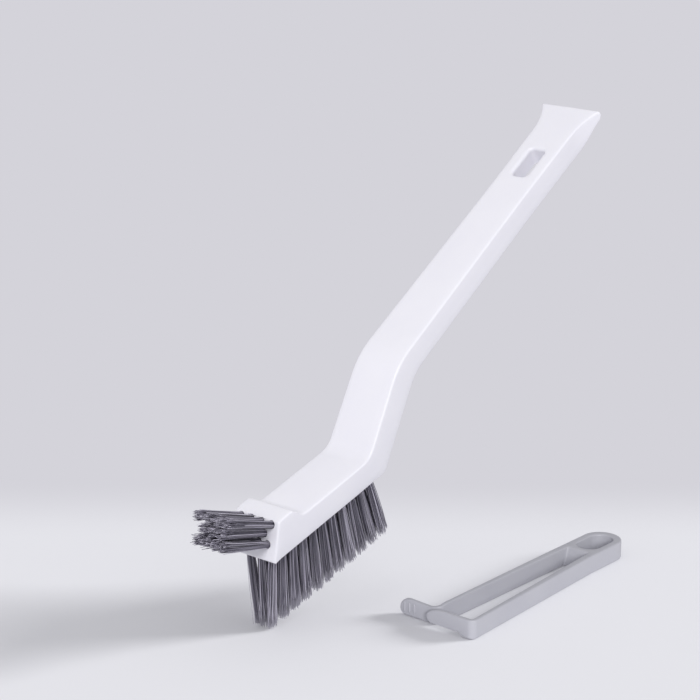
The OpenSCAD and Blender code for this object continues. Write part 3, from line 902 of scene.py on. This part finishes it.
def grey_plastic():
    """The clip's plastic, duller and grainier than the handle's."""
    light, dark = srgb(187, 187, 194), srgb(182, 182, 190)
    return moulded_plastic("grey_plastic", light, dark, rough=0.42, grain=0.2)


def paint(obj, mat):
    """Gives an object one material, in place of any it has."""
    obj.data.materials.clear()
    obj.data.materials.append(mat)


white = white_plastic()
grey = grey_plastic()
bristle = nylon()
for obj, body_name, node, slot_name, mat in (
    (handle, "brush", "handle", "moulding", white),
    (ring, "clip", "clip_ring", "clip_plastic", grey),
):
    paint(obj, mat)
    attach(obj, body_name)
    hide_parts(node)

# The arms get the clip's plastic, and their placement is baked into their points.
for obj, body_name, node in ((near, "clip_near", "clip_near_arm"), (far, "clip_far", "clip_far_arm")):
    paint(obj, grey)
    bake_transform(obj)
    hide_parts(node)
for piece in tufts:
    paint(piece, bristle)
paint(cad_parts["tuft_anchors"], anchor_wire())

# Camera, floor and light

SENSOR, FOCAL_PIXELS, PICTURE_PIXELS, VIEW_END = 36, 2300, 700, 50
CAMERA_TURN, CAMERA_DOWN = math.radians(40.554), math.radians(16.5)
CAMERA_FROM_EDGE = Vector((-659.5, -618.2, 358.325))
BACK = srgb(212, 211, 218)
FLOOR_SIZE, FLOOR_DROP, FADE_FROM, FADE_TO = 30, 0.0002, 0.05, 0.13
BRUSH_MIDDLE = (0, 0, 0.08)

scene = bpy.context.scene
scene.view_settings.view_transform = "Standard"
view_dir = Vector((
    math.cos(CAMERA_DOWN) * math.cos(CAMERA_TURN),
    math.cos(CAMERA_DOWN) * math.sin(CAMERA_TURN),
    -math.sin(CAMERA_DOWN),
))


def camera():
    """The camera, placed from the head's front bottom edge, with no roll."""
    data = bpy.data.cameras.new("camera")
    data.sensor_width = SENSOR
    data.lens = FOCAL_PIXELS / PICTURE_PIXELS * SENSOR
    data.clip_end = VIEW_END
    obj = put("camera", data)
    at = (CAMERA_FROM_EDGE + Vector((OFF_X, MID_Y, OFF_Z))) / 1000
    obj.matrix_world = Matrix.LocRotScale(at, view_dir.to_track_quat("-Z", "Y"), None)
    return obj


def floor_paper():
    """Matt paper that fades into the even backdrop behind the object."""
    m, nt, p = material("floor_paper", srgb(230, 230, 234), rough=0.9, specular=0.0)
    place = nt.nodes.new("ShaderNodeNewGeometry")
    depth = nt.nodes.new("ShaderNodeVectorMath")
    depth.operation = "DOT_PRODUCT"
    depth.inputs[1].default_value = (view_dir.x, view_dir.y, 0)
    nt.links.new(place.outputs["Position"], depth.inputs[0])
    span = nt.nodes.new("ShaderNodeMapRange")
    span.inputs["From Min"].default_value = FADE_FROM
    span.inputs["From Max"].default_value = FADE_TO
    nt.links.new(depth.outputs["Value"], span.inputs["Value"])
    glow = nt.nodes.new("ShaderNodeEmission")
    glow.inputs["Color"].default_value = BACK
    over = nt.nodes.new("ShaderNodeMixShader")
    fade = ramp(nt, span.outputs["Result"], [(0.0, even(0)), (1.0, even(1))], "EASE")
    nt.links.new(fade, over.inputs["Fac"])
    nt.links.new(p.outputs["BSDF"], over.inputs[1])
    nt.links.new(glow.outputs["Emission"], over.inputs[2])
    nt.links.new(over.outputs["Shader"], nt.nodes["Material Output"].inputs["Surface"])
    return m


def floor_sheet():
    """The large sheet that the object stands on, just under it."""
    h = FLOOR_SIZE / 2
    mesh = bpy.data.meshes.new("floor")
    mesh.from_pydata([(-h, -h, 0), (h, -h, 0), (h, h, 0), (-h, h, 0)], [], [(0, 1, 2, 3)])
    obj = put("floor", mesh)
    obj.location = (0, 0, -FLOOR_DROP)
    return obj


def studio():
    """Soft light from all round. The camera itself sees the backdrop's colour."""
    world = bpy.data.worlds.new("studio")
    world.use_nodes = True
    nt = world.node_tree
    light = nt.nodes["Background"]
    light.inputs["Color"].default_value = (0.97, 0.97, 1.0, 1)
    light.inputs["Strength"].default_value = 0.56
    seen = nt.nodes.new("ShaderNodeBackground")
    seen.inputs["Color"].default_value = BACK
    path = nt.nodes.new("ShaderNodeLightPath")
    pick = nt.nodes.new("ShaderNodeMixShader")
    nt.links.new(path.outputs["Is Camera Ray"], pick.inputs["Fac"])
    nt.links.new(light.outputs["Background"], pick.inputs[1])
    nt.links.new(seen.outputs["Background"], pick.inputs[2])
    nt.links.new(pick.outputs["Shader"], nt.nodes["World Output"].inputs["Surface"])
    return world


def lamp(name, at, target, size, power):
    """A round area lamp that faces its target."""
    data = bpy.data.lights.new(name, "AREA")
    data.shape = "DISK"
    data.size = size
    data.energy = power
    obj = put(name, data)
    obj.location = at
    obj.rotation_euler = (Vector(target) - Vector(at)).to_track_quat("-Z", "Y").to_euler()
    return obj


def sun(name, towards, angle, strength):
    """A distant lamp in the given direction."""
    data = bpy.data.lights.new(name, "SUN")
    data.angle = angle
    data.energy = strength
    obj = put(name, data)
    obj.rotation_euler = Vector(towards).to_track_quat("Z", "Y").to_euler()
    return obj


def light_only(lamps, objects, state="INCLUDE"):
    """Lets lamps light only the given objects, or all but them."""
    linked = bpy.data.collections.new(lamps[0].name + "_light")
    for k, obj in enumerate(objects):
        linked.objects.link(obj)
        linked.collection_objects[k].light_linking.link_state = state
    for one in lamps:
        one.light_linking.receiver_collection = linked


scene.camera = camera()
floor = floor_sheet()
paint(floor, floor_paper())
scene.world = studio()
fill = lamp("fill", at=(-1.3, -0.75, 1.4), target=BRUSH_MIDDLE, size=1.1, power=23.5)
side = lamp("side", at=(1.1, -1.4, 0.9), target=BRUSH_MIDDLE, size=1.0, power=6)
clip_fill = lamp("clip_fill", at=(-1.15, -1.35, 0.7), target=(0, 0, 0), size=0.6, power=19)
low_key = sun("low_key", towards=(1.6, -1.2, 0.72), angle=0.34, strength=2.9)
floor_fill = sun("floor_fill", towards=(0, 0, 1), angle=0.5, strength=0.4)
floor_fill.data.use_shadow = False
light_only([low_key, floor_fill], [floor])
light_only([clip_fill], [ring, near, far])
light_only([fill, side], [floor, ring, near, far], "EXCLUDE")
